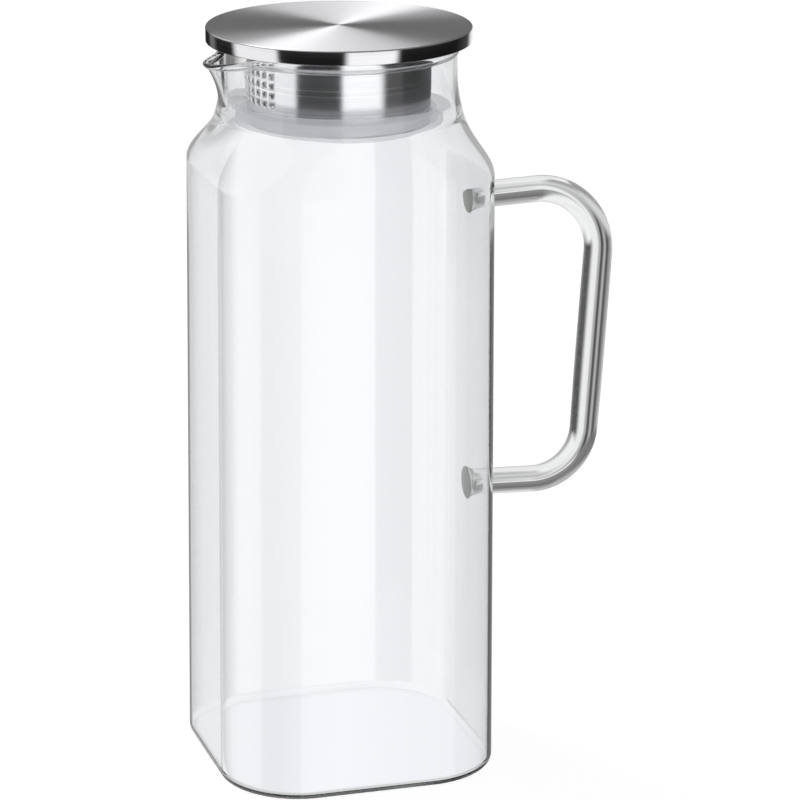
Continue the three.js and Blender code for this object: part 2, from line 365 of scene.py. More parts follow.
def bead_rings():
    half_width = (BEAD_INSET + WALL + BEAD_BULGE) / 2
    middle = NECK_RADIUS + BEAD_BULGE - half_width
    outer_foot = math.acos((NECK_RADIUS - middle) / half_width)
    inner_foot = math.acos((middle - BORE_RADIUS) / half_width)
    rings = []
    for step in range(BEAD_STEPS + 1):
        turn = lerp(-outer_foot, math.pi + inner_foot, step / BEAD_STEPS)
        level = RIM_LEVEL - BEAD_HEIGHT / 2 * (1 - math.sin(turn))
        radius = middle + half_width * math.cos(turn)
        rings.append(vessel_ring(lambda a, r=radius, z=level: neck_point(a, r, z)))
    return rings


def vessel_mesh():
    inner_crease = CREASE_LEVEL - INNER_CREASE_DROP
    base_half = half_side_at(0) - HEEL_RADIUS
    floor_half = half_side_at(FLOOR_THICKNESS) - WALL - INNER_HEEL_RADIUS
    outside = [
        *floor_rings(0.0, base_half, CORNER_RADIUS - HEEL_RADIUS),
        *heel_rings(0.0, 0.0, HEEL_RADIUS),
        *wall_rings(HEEL_RADIUS, BODY_HEIGHT, 0.0),
        *shoulder_rings(CREASE_LEVEL, neck_outer_radius(CREASE_LEVEL), 0.0),
        *neck_rings(CREASE_LEVEL, neck_outer_radius),
    ]
    inside = [
        *floor_rings(FLOOR_THICKNESS, floor_half, CORNER_RADIUS - WALL - INNER_HEEL_RADIUS),
        *heel_rings(FLOOR_THICKNESS, WALL, INNER_HEEL_RADIUS),
        *wall_rings(FLOOR_THICKNESS + INNER_HEEL_RADIUS, inner_crease - SHOULDER_HEIGHT, WALL),
        *shoulder_rings(inner_crease, neck_inner_radius(inner_crease), WALL),
        *neck_rings(inner_crease, neck_inner_radius),
    ]
    rings = [*outside, *bead_rings(), *reversed(inside)]
    points, faces = loft(rings)
    faces.append(tuple(reversed(range(VESSEL_SIDES))))
    first = (len(rings) - 1) * VESSEL_SIDES
    faces.append(tuple(range(first, first + VESSEL_SIDES)))
    return points, faces


# Handle


def bend_points(corner, before, after, radius):
    turn = before.angle(after)
    reach = radius * math.tan(turn / 2)
    start = corner - before * reach
    inward = (after - before * before.dot(after)).normalized()
    middle = start + inward * radius
    out = []
    for step in range(BEND_STEPS + 1):
        angle = turn * step / BEND_STEPS
        out.append(middle - inward * radius * math.cos(angle) + before * radius * math.sin(angle))
    return out


def handle_route():
    """Points along the rod's middle in the XZ plane, from the upper foot to the lower foot."""
    upper = Vector((half_side_at(UPPER_ARM_LEVEL) + FUSE_GAP, 0.0, UPPER_ARM_LEVEL))
    lower = Vector((half_side_at(LOWER_ARM_LEVEL) + FUSE_GAP, 0.0, LOWER_ARM_LEVEL))
    outwards = Vector((math.cos(ARM_SPLAY), 0.0, math.sin(ARM_SPLAY)))
    inwards = Vector((-math.cos(ARM_SPLAY), 0.0, math.sin(ARM_SPLAY)))
    upper_corner = upper + outwards * UPPER_REACH
    lower_corner = lower - inwards * LOWER_REACH
    down = (lower_corner - upper_corner).normalized()
    upper_bend = bend_points(upper_corner, outwards, down, UPPER_BEND_RADIUS)
    lower_bend = bend_points(lower_corner, down, inwards, LOWER_BEND_RADIUS)
    route = [upper.lerp(upper_bend[0], t) for t in ARM_SHARES]
    route += upper_bend
    route += [upper_bend[-1].lerp(lower_bend[0], t / GRIP_STEPS) for t in range(1, GRIP_STEPS)]
    route += lower_bend
    route += [lower_bend[-1].lerp(lower, 1 - t) for t in reversed(ARM_SHARES)]
    return route


def handle_mesh():
    """The rod, a little thinner in its arms and thicker in its grip, with feet cut to the wall's slope."""
    route = handle_route()
    lengths = [0.0]
    for a, b in zip(route, route[1:]):
        lengths.append(lengths[-1] + (b - a).length)
    total = lengths[-1]
    rings = []
    for i, here in enumerate(route):
        before = route[max(i - 1, 0)]
        after = route[min(i + 1, len(route) - 1)]
        along = (after - before).normalized()
        across = Vector((-along.z, 0.0, along.x))
        from_end = min(lengths[i], total - lengths[i])
        flare = WELD_FLARE * math.exp(-((from_end / (WELD_FADE * WELD_LENGTH)) ** WELD_FADE_POWER))
        thicker = GRIP_THICKENING * smooth_share(from_end, GRIP_THICK_SPAN)
        thinner = ARM_THINNING * (1 - smooth_share(from_end, ARM_THIN_SPAN))
        radius = ROD_DIAMETER / 2 + flare + (thicker - thinner)
        ring = []
        for side in range(ROD_SIDES):
            angle = 2 * math.pi * side / ROD_SIDES
            p = here + across * radius * math.cos(angle) - Vector((0, 1, 0)) * radius * math.sin(angle)
            ring.append((p.x, p.y, p.z))
        rings.append(ring)
    for row in (0, len(rings) - 1):
        rings[row] = [(half_side_at(z) + FUSE_GAP, y, z) for _, y, z in rings[row]]
    points, faces = loft(rings)
    faces.append(tuple(reversed(range(ROD_SIDES))))
    first = (len(rings) - 1) * ROD_SIDES
    faces.append(tuple(range(first, first + ROD_SIDES)))
    return points, faces


# Lid, strainer and seal


def lid_cap_profile():
    inner = LID_RADIUS - LID_SHEET
    body = [
        (inner, LID_TOP - LID_SHEET),
        (inner, LID_BOTTOM),
        (LID_RADIUS, LID_BOTTOM),
        (LID_RADIUS, LID_TOP),
    ]
    curve = [body[0]]
    curve += rounded(body, LID_EDGE_RADIUS, steps=5, closed=False)[1:-1]
    corner = LID_EDGE_RADIUS
    for step in range(LID_EDGE_STEPS + 1):
        angle = math.pi / 2 * step / LID_EDGE_STEPS
        curve.append((
            LID_RADIUS - corner + corner * math.cos(angle),
            LID_TOP - corner + corner * math.sin(angle),
        ))
    tops = [(LID_RADIUS * share, LID_TOP) for share in (0.96, 0.9, 0.75, 0.5, 0.25, 0.08)]
    unders = [(inner * share, LID_TOP - LID_SHEET) for share in (0.08, 0.5, 0.9, 0.98)]
    return [(0, LID_TOP - LID_SHEET), *unders, *curve, *tops, (0, LID_TOP)]


def lid_pan_profile():
    upturn = LID_TOP - LID_SHEET - CLEARANCE
    floor_level = LID_BOTTOM + PAN_SHEET
    body = [
        (PAN_RADIUS * 0.9, LID_BOTTOM),
        (PAN_RADIUS, LID_BOTTOM),
        (PAN_RADIUS, upturn),
        (PAN_RADIUS - PAN_SHEET, upturn),
        (PAN_RADIUS - PAN_SHEET, floor_level),
        (PAN_RADIUS * 0.9, floor_level),
    ]
    lows = [(PAN_RADIUS * share, LID_BOTTOM) for share in (0.05, 0.4, 0.8)]
    highs = [(PAN_RADIUS * share, floor_level) for share in (0.8, 0.4, 0.05)]
    curve = rounded(body, PAN_SHEET, steps=5, closed=False)
    return [(0, LID_BOTTOM), *lows, *curve, *highs, (0, floor_level)]


def seal_profile():
    """A cup with a collar that grips the strainer and a thin lip that flares out towards the neck."""
    grip = STRAINER_RADIUS + CLEARANCE
    lip = BORE_RADIUS - BEAD_INSET - CLEARANCE
    skirt = lip - SEAL_LIP_REACH
    low = SEAL_BOTTOM - SEAL_DROOP
    cup_floor = low + SEAL_FLOOR
    lip_foot = SEAL_TOP - SEAL_LIP_RISE
    profile = [
        (grip, low),
        (skirt, low),
        (skirt, (low + lip_foot) / 2),
        (skirt, lip_foot),
        (lip, SEAL_TOP - SEAL_LIP_THICKNESS),
        (lip, SEAL_TOP),
        (lip - SEAL_LIP_THICKNESS, SEAL_TOP),
        (skirt - SEAL_LIP_THICKNESS, lip_foot),
        (skirt - SEAL_SKIRT_ROOT, cup_floor),
        (grip + SEAL_COLLAR, cup_floor),
        (grip + SEAL_COLLAR, SEAL_BOTTOM + SEAL_COLLAR_HEIGHT),
        (grip, SEAL_BOTTOM + SEAL_COLLAR_HEIGHT),
        (grip, SNAP_RIB_LEVEL + SNAP_RIB_HEIGHT / 2 + CLEARANCE),
        (grip + SNAP_RIB, SNAP_RIB_LEVEL),
        (grip, SNAP_RIB_LEVEL - SNAP_RIB_HEIGHT / 2 - CLEARANCE),
    ]
    return rounded(profile, SEAL_SOFT_EDGE, steps=4)


def lip_sag(angle):
    """How far the soft lip hangs below its own circle: most behind on the right, less behind on the left."""
    sag = 0.0
    for depth, middle in LIP_SAGS:
        sag += depth * math.cos((angle - middle) / 2) ** LIP_SAG_SHARPNESS
    return sag


def seal_mesh():
    collar = STRAINER_RADIUS + CLEARANCE + SEAL_COLLAR
    cup_floor = SEAL_BOTTOM + SEAL_FLOOR
    points, faces = lathe(seal_profile())
    sagged = []
    for x, y, z in points:
        if z > cup_floor and math.hypot(x, y) > collar + CLEARANCE:
            z -= lip_sag(math.atan2(y, x)) * smooth((z - cup_floor) / (SEAL_TOP - cup_floor))
        sagged.append((x, y, z))
    return sagged, faces


def strainer_mesh():
    """A rolled sheet with punched holes: a patch of hole cells towards the spout, plain sheet elsewhere."""
    lowest = SEAL_TOP + HOLE_LOWER_MARGIN
    highest = STRAINER_TOP - HOLE_UPPER_MARGIN
    rows = int((highest - lowest) / HOLE_ROW_PITCH) + 1
    patch_low = lowest - HOLE_ROW_PITCH / 2
    patch_high = lowest + (rows - 0.5) * HOLE_ROW_PITCH
    cell_steps = HOLE_CELL_STEPS
    columns = round(2 * math.pi / HOLE_COLUMN_PITCH)
    first_column = -(HOLE_COLUMNS // 2)
    rib_low = SNAP_RIB_LEVEL - SNAP_RIB_HEIGHT / 2
    rib_high = SNAP_RIB_LEVEL + SNAP_RIB_HEIGHT / 2
    levels = [STRAINER_BOTTOM, rib_low - SNAP_RIB_RUN, rib_low]
    levels += [SNAP_RIB_LEVEL - SNAP_RIB_CROWN, SNAP_RIB_LEVEL, SNAP_RIB_LEVEL + SNAP_RIB_CROWN]
    levels += [rib_high, rib_high + SNAP_RIB_RUN]
    levels += [lerp(rib_high + SNAP_RIB_RUN, patch_low, t / 3) for t in (1, 2, 3)]
    patch_start = len(levels) - 1
    for row in range(rows):
        for step in range(1, cell_steps + 1):
            levels.append(patch_low + (row + step / cell_steps) * HOLE_ROW_PITCH)
    patch_end = len(levels) - 1
    top = STRAINER_TOP - STRAINER_SHEET
    levels += [lerp(patch_high, top, t / 4) for t in (1, 2, 3)]
    around = columns * cell_steps
    points = []
    index = {}

    def spot(side, level, radius):
        angle = math.pi + (side / cell_steps - 0.5) * HOLE_COLUMN_PITCH
        key = (round((side % around) * 1000), round(level * 10000), round(radius * 10000))
        if key not in index:
            index[key] = len(points)
            points.append((radius * math.cos(angle), radius * math.sin(angle), level))
        return index[key]

    def bulge(level):
        t = clamp(1 - abs(level - SNAP_RIB_LEVEL) / (SNAP_RIB_HEIGHT / 2))
        return SNAP_RIB * smooth(t)

    faces = []
    inner = STRAINER_RADIUS - STRAINER_SHEET
    for side in range(around):
        column = side // cell_steps
        signed = column if column <= columns // 2 else column - columns
        holed = first_column <= signed < first_column + HOLE_COLUMNS
        for row in range(len(levels) - 1):
            if holed and patch_start <= row < patch_end:
                continue
            low, high = levels[row], levels[row + 1]
            outer_low, outer_high = STRAINER_RADIUS + bulge(low), STRAINER_RADIUS + bulge(high)
            faces.append((spot(side, low, outer_low), spot(side + 1, low, outer_low),
                          spot(side + 1, high, outer_high), spot(side, high, outer_high)))
            faces.append((spot(side, high, inner), spot(side + 1, high, inner),
                          spot(side + 1, low, inner), spot(side, low, inner)))
    half = cell_steps / 2
    border = [(step - half, -half) for step in range(cell_steps)]
    border += [(half, step - half) for step in range(cell_steps)]
    border += [(half - step, half) for step in range(cell_steps)]
    border += [(-half, half - step) for step in range(cell_steps)]
    hole_turn = HOLE_DIAMETER / 2 / STRAINER_RADIUS / HOLE_COLUMN_PITCH * cell_steps
    for column in range(first_column, first_column + HOLE_COLUMNS):
        centre_side = (column + 0.5) * cell_steps
        for row in range(rows):
            centre_level = lowest + row * HOLE_ROW_PITCH
            loops = {}
            for radius in (STRAINER_RADIUS, inner):
                edge = []
                hole = []
                for u, v in border:
                    level = levels[patch_start + row * cell_steps + int(v + half)]
                    edge.append(spot(centre_side + u, level, radius))
                    angle = math.atan2(v, u)
                    turn = hole_turn * math.cos(angle)
                    rise = HOLE_DIAMETER / 2 * math.sin(angle)
                    hole.append(spot(centre_side + turn, centre_level + rise, radius))
                loops[radius] = (edge, hole)
            count = len(border)
            for i in range(count):
                j = (i + 1) % count
                edge, hole = loops[STRAINER_RADIUS]
                faces.append((edge[i], edge[j], hole[j], hole[i]))
                edge_in, hole_in = loops[inner]
                faces.append((edge_in[j], edge_in[i], hole_in[i], hole_in[j]))
                faces.append((hole[i], hole[j], hole_in[j], hole_in[i]))
    flange = STRAINER_RADIUS + WELD_FLANGE
    low = levels[-1]
    turn_up = [(STRAINER_RADIUS, low)]
    turn_up += [(STRAINER_RADIUS + out, top - down) for out, down in FLANGE_BEND]
    turn_up += [(flange, top), (flange, STRAINER_TOP), (inner, STRAINER_TOP), (inner, low)]
    bottom = STRAINER_BOTTOM
    for side in range(around):
        for (r0, z0), (r1, z1) in zip(turn_up, turn_up[1:]):
            faces.append((spot(side, z0, r0), spot(side + 1, z0, r0),
                          spot(side + 1, z1, r1), spot(side, z1, r1)))
        faces.append((spot(side + 1, bottom, STRAINER_RADIUS), spot(side, bottom, STRAINER_RADIUS),
                      spot(side, bottom, inner), spot(side + 1, bottom, inner)))
    return points, faces


# Materials
GLASS_IOR = 1.473
GLASS_WAVE_SCALE = (26.0, 26.0, 7.0)
STEEL_STREAK_ROUGHNESS = 0.16
STEEL_STREAK_TONES = (0.9, 1.06)
SILICONE_ROUGHNESS = 0.38
SILICONE_IOR = 1.41
# Painted light: the seal's own even glow, though it is no lamp
SILICONE_PAINTED_GLOW = 0.2
SILICONE_TRANSLUCENCE = 0.1
SILICONE_SKIN = (0.33, 0.41)
WELD_ROUGHNESS = 0.3
# Painted light: the glow of the rod's end discs, though they are no lamp
WELD_PAINTED_GLOW = 0.1


def new_material(name):
    material = bpy.data.materials.new(name)
    material.use_nodes = True
    tree = material.node_tree
    shader = tree.nodes["Principled BSDF"]
    return material, tree, shader


def add_node(tree, kind, **values):
    node = tree.nodes.new(kind)
    for key, value in values.items():
        setattr(node, key, value)
    return node


def math_node(tree, operation, a, b=None, c=None):
    node = add_node(tree, "ShaderNodeMath", operation=operation)
    for socket, value in zip(node.inputs, (a, b, c)):
        if value is None:
            continue
        if isinstance(value, (int, float)):
            socket.default_value = value
        else:
            tree.links.new(value, socket)
    return node.outputs[0]


def axis_distance(tree):
    """Distance from the carafe's axis, and height, in metres."""
    place = add_node(tree, "ShaderNodeTexCoord").outputs["Object"]
    parts = add_node(tree, "ShaderNodeSeparateXYZ")
    tree.links.new(place, parts.inputs[0])
    x_squared = math_node(tree, "POWER", parts.outputs[0], 2.0)
    y_squared = math_node(tree, "POWER", parts.outputs[1], 2.0)
    squares = math_node(tree, "ADD", x_squared, y_squared)
    return math_node(tree, "SQRT", squares), parts.outputs[2]


def mottle(tree, scale, dark, light):
    """A cloudy mix of two colours in the object's own space: the cloud's share and the colour."""
    place = add_node(tree, "ShaderNodeTexCoord").outputs["Object"]
    noise = add_node(tree, "ShaderNodeTexNoise")
    noise.inputs["Scale"].default_value = scale
    noise.inputs["Detail"].default_value = 3.0
    tree.links.new(place, noise.inputs["Vector"])
    tone = add_node(tree, "ShaderNodeMix", data_type="RGBA")
    tone.inputs["A"].default_value = dark
    tone.inputs["B"].default_value = light
    tree.links.new(noise.outputs["Fac"], tone.inputs["Factor"])
    return noise.outputs["Fac"], tone.outputs["Result"]


def glass_material(name, tint, absorb, density, wave):
    """Clear glass with faint upright waves in its faces and a tint that grows with its thickness."""
    material, tree, shader = new_material(name)
    shader.inputs["Base Color"].default_value = (*tint, 1)
    shader.inputs["Roughness"].default_value = 0.0
    shader.inputs["IOR"].default_value = GLASS_IOR
    shader.inputs["Transmission Weight"].default_value = 1.0
    place = add_node(tree, "ShaderNodeTexCoord").outputs["Object"]
    stretch = add_node(tree, "ShaderNodeMapping")
    stretch.inputs["Scale"].default_value = GLASS_WAVE_SCALE
    tree.links.new(place, stretch.inputs["Vector"])
    noise = add_node(tree, "ShaderNodeTexNoise")
    noise.inputs["Scale"].default_value = 1.0
    noise.inputs["Detail"].default_value = 1.0
    tree.links.new(stretch.outputs[0], noise.inputs["Vector"])
    bump = add_node(tree, "ShaderNodeBump")
    bump.inputs["Strength"].default_value = 1.0
    bump.inputs["Distance"].default_value = wave * MM
    tree.links.new(noise.outputs["Fac"], bump.inputs["Height"])
    tree.links.new(bump.outputs[0], shader.inputs["Normal"])
    volume = add_node(tree, "ShaderNodeVolumeAbsorption")
    volume.inputs["Color"].default_value = (*absorb, 1)
    volume.inputs["Density"].default_value = density
    tree.links.new(volume.outputs[0], tree.nodes["Material Output"].inputs["Volume"])
    return material


def steel_material(name, colour, top_roughness, side_roughness, anisotropy, lines, depth):
    """Turned steel: fine lines round the axis, which stretch every reflection across them."""
    material, tree, shader = new_material(name)
    shader.inputs["Metallic"].default_value = 1.0
    shader.inputs["Anisotropic"].default_value = anisotropy
    shader.inputs["Anisotropic Rotation"].default_value = 0.25
    tangent = add_node(tree, "ShaderNodeTangent", direction_type="RADIAL", axis="Z")
    tree.links.new(tangent.outputs[0], shader.inputs["Tangent"])
    distance, height = axis_distance(tree)
    spot = math_node(tree, "ADD", distance, height)
    lathe_lines = add_node(tree, "ShaderNodeTexNoise", noise_dimensions="1D")
    lathe_lines.inputs["Scale"].default_value = lines
    lathe_lines.inputs["Detail"].default_value = 6.0
    tree.links.new(spot, lathe_lines.inputs["W"])
    facing = add_node(tree, "ShaderNodeNewGeometry")
    upright = add_node(tree, "ShaderNodeSeparateXYZ")
    tree.links.new(facing.outputs["Normal"], upright.inputs[0])
    share = math_node(tree, "ABSOLUTE", upright.outputs[2])
    rough = add_node(tree, "ShaderNodeMapRange")
    rough.inputs["To Min"].default_value = side_roughness
    rough.inputs["To Max"].default_value = top_roughness
    tree.links.new(share, rough.inputs["Value"])
    streak = math_node(
        tree, "MULTIPLY_ADD", lathe_lines.outputs["Fac"], STEEL_STREAK_ROUGHNESS, -STEEL_STREAK_ROUGHNESS / 2,
    )
    tree.links.new(math_node(tree, "ADD", rough.outputs[0], streak), shader.inputs["Roughness"])
    tone = add_node(tree, "ShaderNodeMapRange")
    tone.inputs["From Min"].default_value = 0.25
    tone.inputs["From Max"].default_value = 0.75
    tone.inputs["To Min"].default_value, tone.inputs["To Max"].default_value = STEEL_STREAK_TONES
    tree.links.new(lathe_lines.outputs["Fac"], tone.inputs["Value"])
    shade = add_node(tree, "ShaderNodeVectorMath", operation="SCALE")
    shade.inputs[0].default_value = colour
    tree.links.new(tone.outputs[0], shade.inputs["Scale"])
    tree.links.new(shade.outputs[0], shader.inputs["Base Color"])
    bump = add_node(tree, "ShaderNodeBump")
    bump.inputs["Strength"].default_value = 1.0
    bump.inputs["Distance"].default_value = depth * MM
    tree.links.new(lathe_lines.outputs["Fac"], bump.inputs["Height"])
    tree.links.new(bump.outputs[0], shader.inputs["Normal"])
    return material


def silicone_material():
    """A milky skin that lets part of the light straight through, with a faint painted glow that stands in for
    light falling on it.
    """
    material, tree, shader = new_material("silicone")
    shader.inputs["Roughness"].default_value = SILICONE_ROUGHNESS
    shader.inputs["IOR"].default_value = SILICONE_IOR
    # Painted light: a faint even glow lifts the seal's brightness, though it is no lamp
    shader.inputs["Emission Color"].default_value = (0.95, 0.96, 1.0, 1)
    shader.inputs["Emission Strength"].default_value = SILICONE_PAINTED_GLOW
    cloud, tone = mottle(tree, 160.0, (0.86, 0.865, 0.89, 1), (0.92, 0.925, 0.95, 1))
    tree.links.new(tone, shader.inputs["Base Color"])
    glow = add_node(tree, "ShaderNodeBsdfTranslucent")
    tree.links.new(tone, glow.inputs["Color"])
    body = add_node(tree, "ShaderNodeMixShader")
    body.inputs["Fac"].default_value = SILICONE_TRANSLUCENCE
    tree.links.new(shader.outputs[0], body.inputs[1])
    tree.links.new(glow.outputs[0], body.inputs[2])
    clear = add_node(tree, "ShaderNodeBsdfTransparent")
    skin = add_node(tree, "ShaderNodeMapRange")
    skin.inputs["To Min"].default_value, skin.inputs["To Max"].default_value = SILICONE_SKIN
    tree.links.new(cloud, skin.inputs["Value"])
    whole = add_node(tree, "ShaderNodeMixShader")
    tree.links.new(skin.outputs[0], whole.inputs["Fac"])
    tree.links.new(clear.outputs[0], whole.inputs[1])
    tree.links.new(body.outputs[0], whole.inputs[2])
    tree.links.new(whole.outputs[0], tree.nodes["Material Output"].inputs["Surface"])
    return material


def weld_material():
    """The fused end of the rod, a mottled grey-green disc under the wall, whose tone and faint glow are painted
    in place of the light seen along the rod through the fused joint.
    """
    material, tree, shader = new_material("weld_glass")
    shader.inputs["Roughness"].default_value = WELD_ROUGHNESS
    # Painted light: the disc glows, and its grey-green tone stands in for light seen along the rod
    shader.inputs["Emission Color"].default_value = (0.82, 0.87, 0.78, 1)
    shader.inputs["Emission Strength"].default_value = WELD_PAINTED_GLOW
    _, tone = mottle(tree, 420.0, (0.36, 0.41, 0.34, 1), (0.78, 0.83, 0.74, 1))
    tree.links.new(tone, shader.inputs["Base Color"])
    return material


vessel_glass = glass_material("vessel_glass", (0.985, 0.99, 0.995), (0.86, 0.92, 0.93), 8.0, 0.02)
handle_glass = glass_material("handle_glass", (0.985, 0.99, 0.99), (0.89, 0.91, 0.925), 10.0, 0.01)
lid_steel = steel_material("lid_steel", (0.70, 0.70, 0.715), 0.45, 0.14, 0.9, 2600.0, 0.004)
strainer_steel = steel_material("strainer_steel", (0.66, 0.66, 0.675), 0.3, 0.2, 0.6, 1400.0, 0.003)
silicone = silicone_material()

add_piece("vessel_shell", *vessel_mesh(), vessel_glass, "carafe", "vessel", "glass")
rod_piece = add_piece("handle_rod", *handle_mesh(), handle_glass, "carafe", "handle", "glass")
# The rod's last two faces are its ends, which get the disc of painted light
rod_piece.data.materials.append(weld_material())
for end in rod_piece.data.polygons[-2:]:
    end.material_index = 1
lid = add_piece("lid_cap_turned", *disc_lathe(lid_cap_profile()), lid_steel, "lid", "lid_cap", "turned_steel")
add_piece("lid_pan_pressed", *disc_lathe(lid_pan_profile()), strainer_steel, "lid", "lid_pan", "plain_steel")
add_piece("strainer_sheet", *strainer_mesh(), strainer_steel, "lid", "strainer", "plain_steel")
add_piece("seal_cup", *seal_mesh(), silicone, "seal", "seal_ring", "silicone")

# Camera, where the photograph was taken from
PHOTO_WIDTH = 800
FOCAL_PIXELS = 3644.89
SENSOR = 36.0
AZIMUTH = math.radians(-16.12)
ELEVATION = math.radians(16.54)
DISTANCE = 1301.52
PIVOT = Vector((0.0, 0.0, 140.0))
PIVOT_PIXEL = (338.98, 377.42)

right = Vector((math.cos(AZIMUTH), math.sin(AZIMUTH), 0.0))
level_forward = Vector((-math.sin(AZIMUTH), math.cos(AZIMUTH), 0.0))
back = (Vector((0, 0, 1)) * math.sin(ELEVATION) - level_forward * math.cos(ELEVATION)).normalized()
up = back.cross(right)
camera_data = bpy.data.cameras.new("photo_camera")
camera_data.sensor_width = SENSOR
camera_data.lens = FOCAL_PIXELS / PHOTO_WIDTH * SENSOR
camera_data.clip_end = 20.0
camera = bpy.data.objects.new("photo_camera", camera_data)
bpy.context.scene.collection.objects.link(camera)
camera_data.shift_x = 0.5 - PIVOT_PIXEL[0] / PHOTO_WIDTH
camera_data.shift_y = PIVOT_PIXEL[1] / PHOTO_WIDTH - 0.5
place = (PIVOT + back * DISTANCE) * MM
camera.matrix_world = Matrix((
    (right.x, up.x, back.x, place.x),
    (right.y, up.y, back.y, place.y),
    (right.z, up.z, back.z, place.z),
    (0, 0, 0, 1),
))
bpy.context.scene.camera = camera

# Floor: pale and lit from below as on a light table, seen by the camera but not through the glass
FLOOR_HALF_SIDE = 3.0
FLOOR_DROP = 0.0002
FLOOR_GLOW = 0.85
floor_mesh = bpy.data.meshes.new("floor")
work = bmesh.new()
bmesh.ops.create_grid(work, x_segments=8, y_segments=8, size=FLOOR_HALF_SIDE)
work.to_mesh(floor_mesh)
work.free()
floor = bpy.data.objects.new("floor", floor_mesh)
bpy.context.scene.collection.objects.link(floor)
floor.location.z = -FLOOR_DROP
floor.visible_transmission = False
floor.visible_glossy = False
floor_material, _, floor_shader = new_material("floor")
floor_shader.inputs["Base Color"].default_value = (0.82, 0.82, 0.82, 1)
floor_shader.inputs["Roughness"].default_value = 0.9
floor_shader.inputs["Emission Color"].default_value = (1, 1, 1, 1)
floor_shader.inputs["Emission Strength"].default_value = FLOOR_GLOW
floor_mesh.materials.append(floor_material)

# Studio: bright panels and dark gaps by compass angle, in degrees to the right of the photograph's far side.
# How often a ray has crossed glass, and whether it was mirrored, chooses the panels that it meets.
world = bpy.data.worlds.new("studio")
bpy.context.scene.world = world
world.use_nodes = True
sky = world.node_tree
sky.nodes.clear()
direction = add_node(sky, "ShaderNodeTexCoord").outputs["Generated"]


def along(vector):
    dot = add_node(sky, "ShaderNodeVectorMath", operation="DOT_PRODUCT")
    sky.links.new(direction, dot.inputs[0])
    dot.inputs[1].default_value = vector
    return dot.outputs["Value"]


compass = math_node(sky, "ARCTAN2", along(right), along(level_forward))
turn_share = math_node(sky, "MULTIPLY_ADD", compass, 1 / (2 * math.pi), 0.5)
height = along((0, 0, 1))
height_share = math_node(sky, "MULTIPLY_ADD", height, 0.5, 0.5)
path = add_node(sky, "ShaderNodeLightPath")


def ramp_over(share, stops, tint=(1.0, 1.0, 1.0)):
    """A colour ramp over a share from 0 to 1: stops are (share, brightness)."""
    ramp = add_node(sky, "ShaderNodeValToRGB")
    ramp.color_ramp.interpolation = "LINEAR"
    elements = ramp.color_ramp.elements
    while len(elements) > 1:
        elements.remove(elements[-1])
    for i, (place_on_ramp, value) in enumerate(stops):
        element = elements[0] if i == 0 else elements.new(place_on_ramp)
        element.position = place_on_ramp
        element.color = (*(value * channel for channel in tint), 1)
    sky.links.new(share, ramp.inputs[0])
    return ramp.outputs["Color"]


def panels(stops, tint=(1.0, 1.0, 1.0)):
    """A colour ramp over the compass: stops are (degrees, brightness)."""
    return ramp_over(turn_share, [(degrees / 360 + 0.5, value) for degrees, value in stops], tint)


def mix(factor, a, b):
    node = add_node(sky, "ShaderNodeMix", data_type="RGBA")
    sky.links.new(factor, node.inputs["Factor"])
    for socket, value in ((node.inputs["A"], a), (node.inputs["B"], b)):
        if isinstance(value, tuple):
            socket.default_value = value
        else:
            sky.links.new(value, socket)
    return node.outputs["Result"]


def between(value, start, end):
    """A factor that runs smoothly from 0 to 1 while the value goes from start to end, up or down."""
    node = add_node(sky, "ShaderNodeMapRange", interpolation_type="SMOOTHSTEP")
    sky.links.new(value, node.inputs["Value"])
    node.inputs["From Min"].default_value = start
    node.inputs["From Max"].default_value = end
    return node.outputs[0]


def grey(value):
    return (value, value, value, 1.0)


def layers(stops):
    """A grey ramp over the height of the direction: stops are (height, brightness)."""
    return ramp_over(height_share, [(level / 2 + 0.5, value) for level, value in stops])


def both(a, b):
    return math_node(sky, "MULTIPLY", a, b)


def band(low, full_low, full_high, high):
    """A factor over the height: 0 outside low and high, 1 between the full levels."""
    return both(between(height, low, full_low), between(height, high, full_high))


# Mirrored in the steel: upright panels below the horizon, a dim room above it
studio = panels([
    (-180, 0.01), (-128, 0.01), (-124, 1.25), (-82, 1.25), (-75, 0.01), (-50, 0.01), (-42, 0.2), (-36, 0.2),
    (-30, 0.02), (-14, 0.02), (-4, 1.0), (22, 1.0), (34, 0.08), (60, 0.01), (126, 0.01), (131, 1.4),
    (171, 1.4), (176, 0.01),
])
room = panels([(-180, 0.17), (-76, 0.17), (-68, 0.9), (-42, 0.9), (-34, 0.17)])
studio = mix(between(height, -0.04, 0.06), studio, room)
# Mirrored in the steel inside the neck
inner = panels([
    (-180, 0.01), (-128, 0.01), (-124, 1.55), (-50, 1.3), (-40, 0.5), (-28, 0.5), (-15, 0.9), (12, 1.0),
    (18, 0.01), (120, 0.01), (128, 1.75), (174, 1.75), (178, 0.01),
])
# Seen at the feet of the rod, through rod and wall
deep = panels([
    (-180, 0.01), (-128, 0.01), (-124, 1.4), (-50, 1.2), (-42, 0.28), (24, 0.28), (30, 0.05), (114, 0.05),
    (118, 1.5), (174, 1.5), (178, 0.01),
], tint=(0.97, 1.0, 0.96))
# Mirrored in the outer faces of the glass
gleam = panels([
    (-180, 0.06), (-128, 0.06), (-124, 0.95), (-30, 0.95), (-22, 0.45), (0, 0.4), (18, 0.4), (60, 0.3),
    (90, 0.08), (114, 0.08), (118, 0.9), (174, 0.9), (178, 0.06),
])
gleam_high = panels([
    (-180, 0.06), (-128, 0.06), (-124, 0.9), (-30, 0.9), (-15, 0.75), (10, 0.85), (45, 0.9), (70, 0.3),
    (90, 0.08), (114, 0.08), (118, 0.9), (174, 0.9), (178, 0.06),
])
gleam = mix(between(height, -0.235, -0.215), gleam, gleam_high)
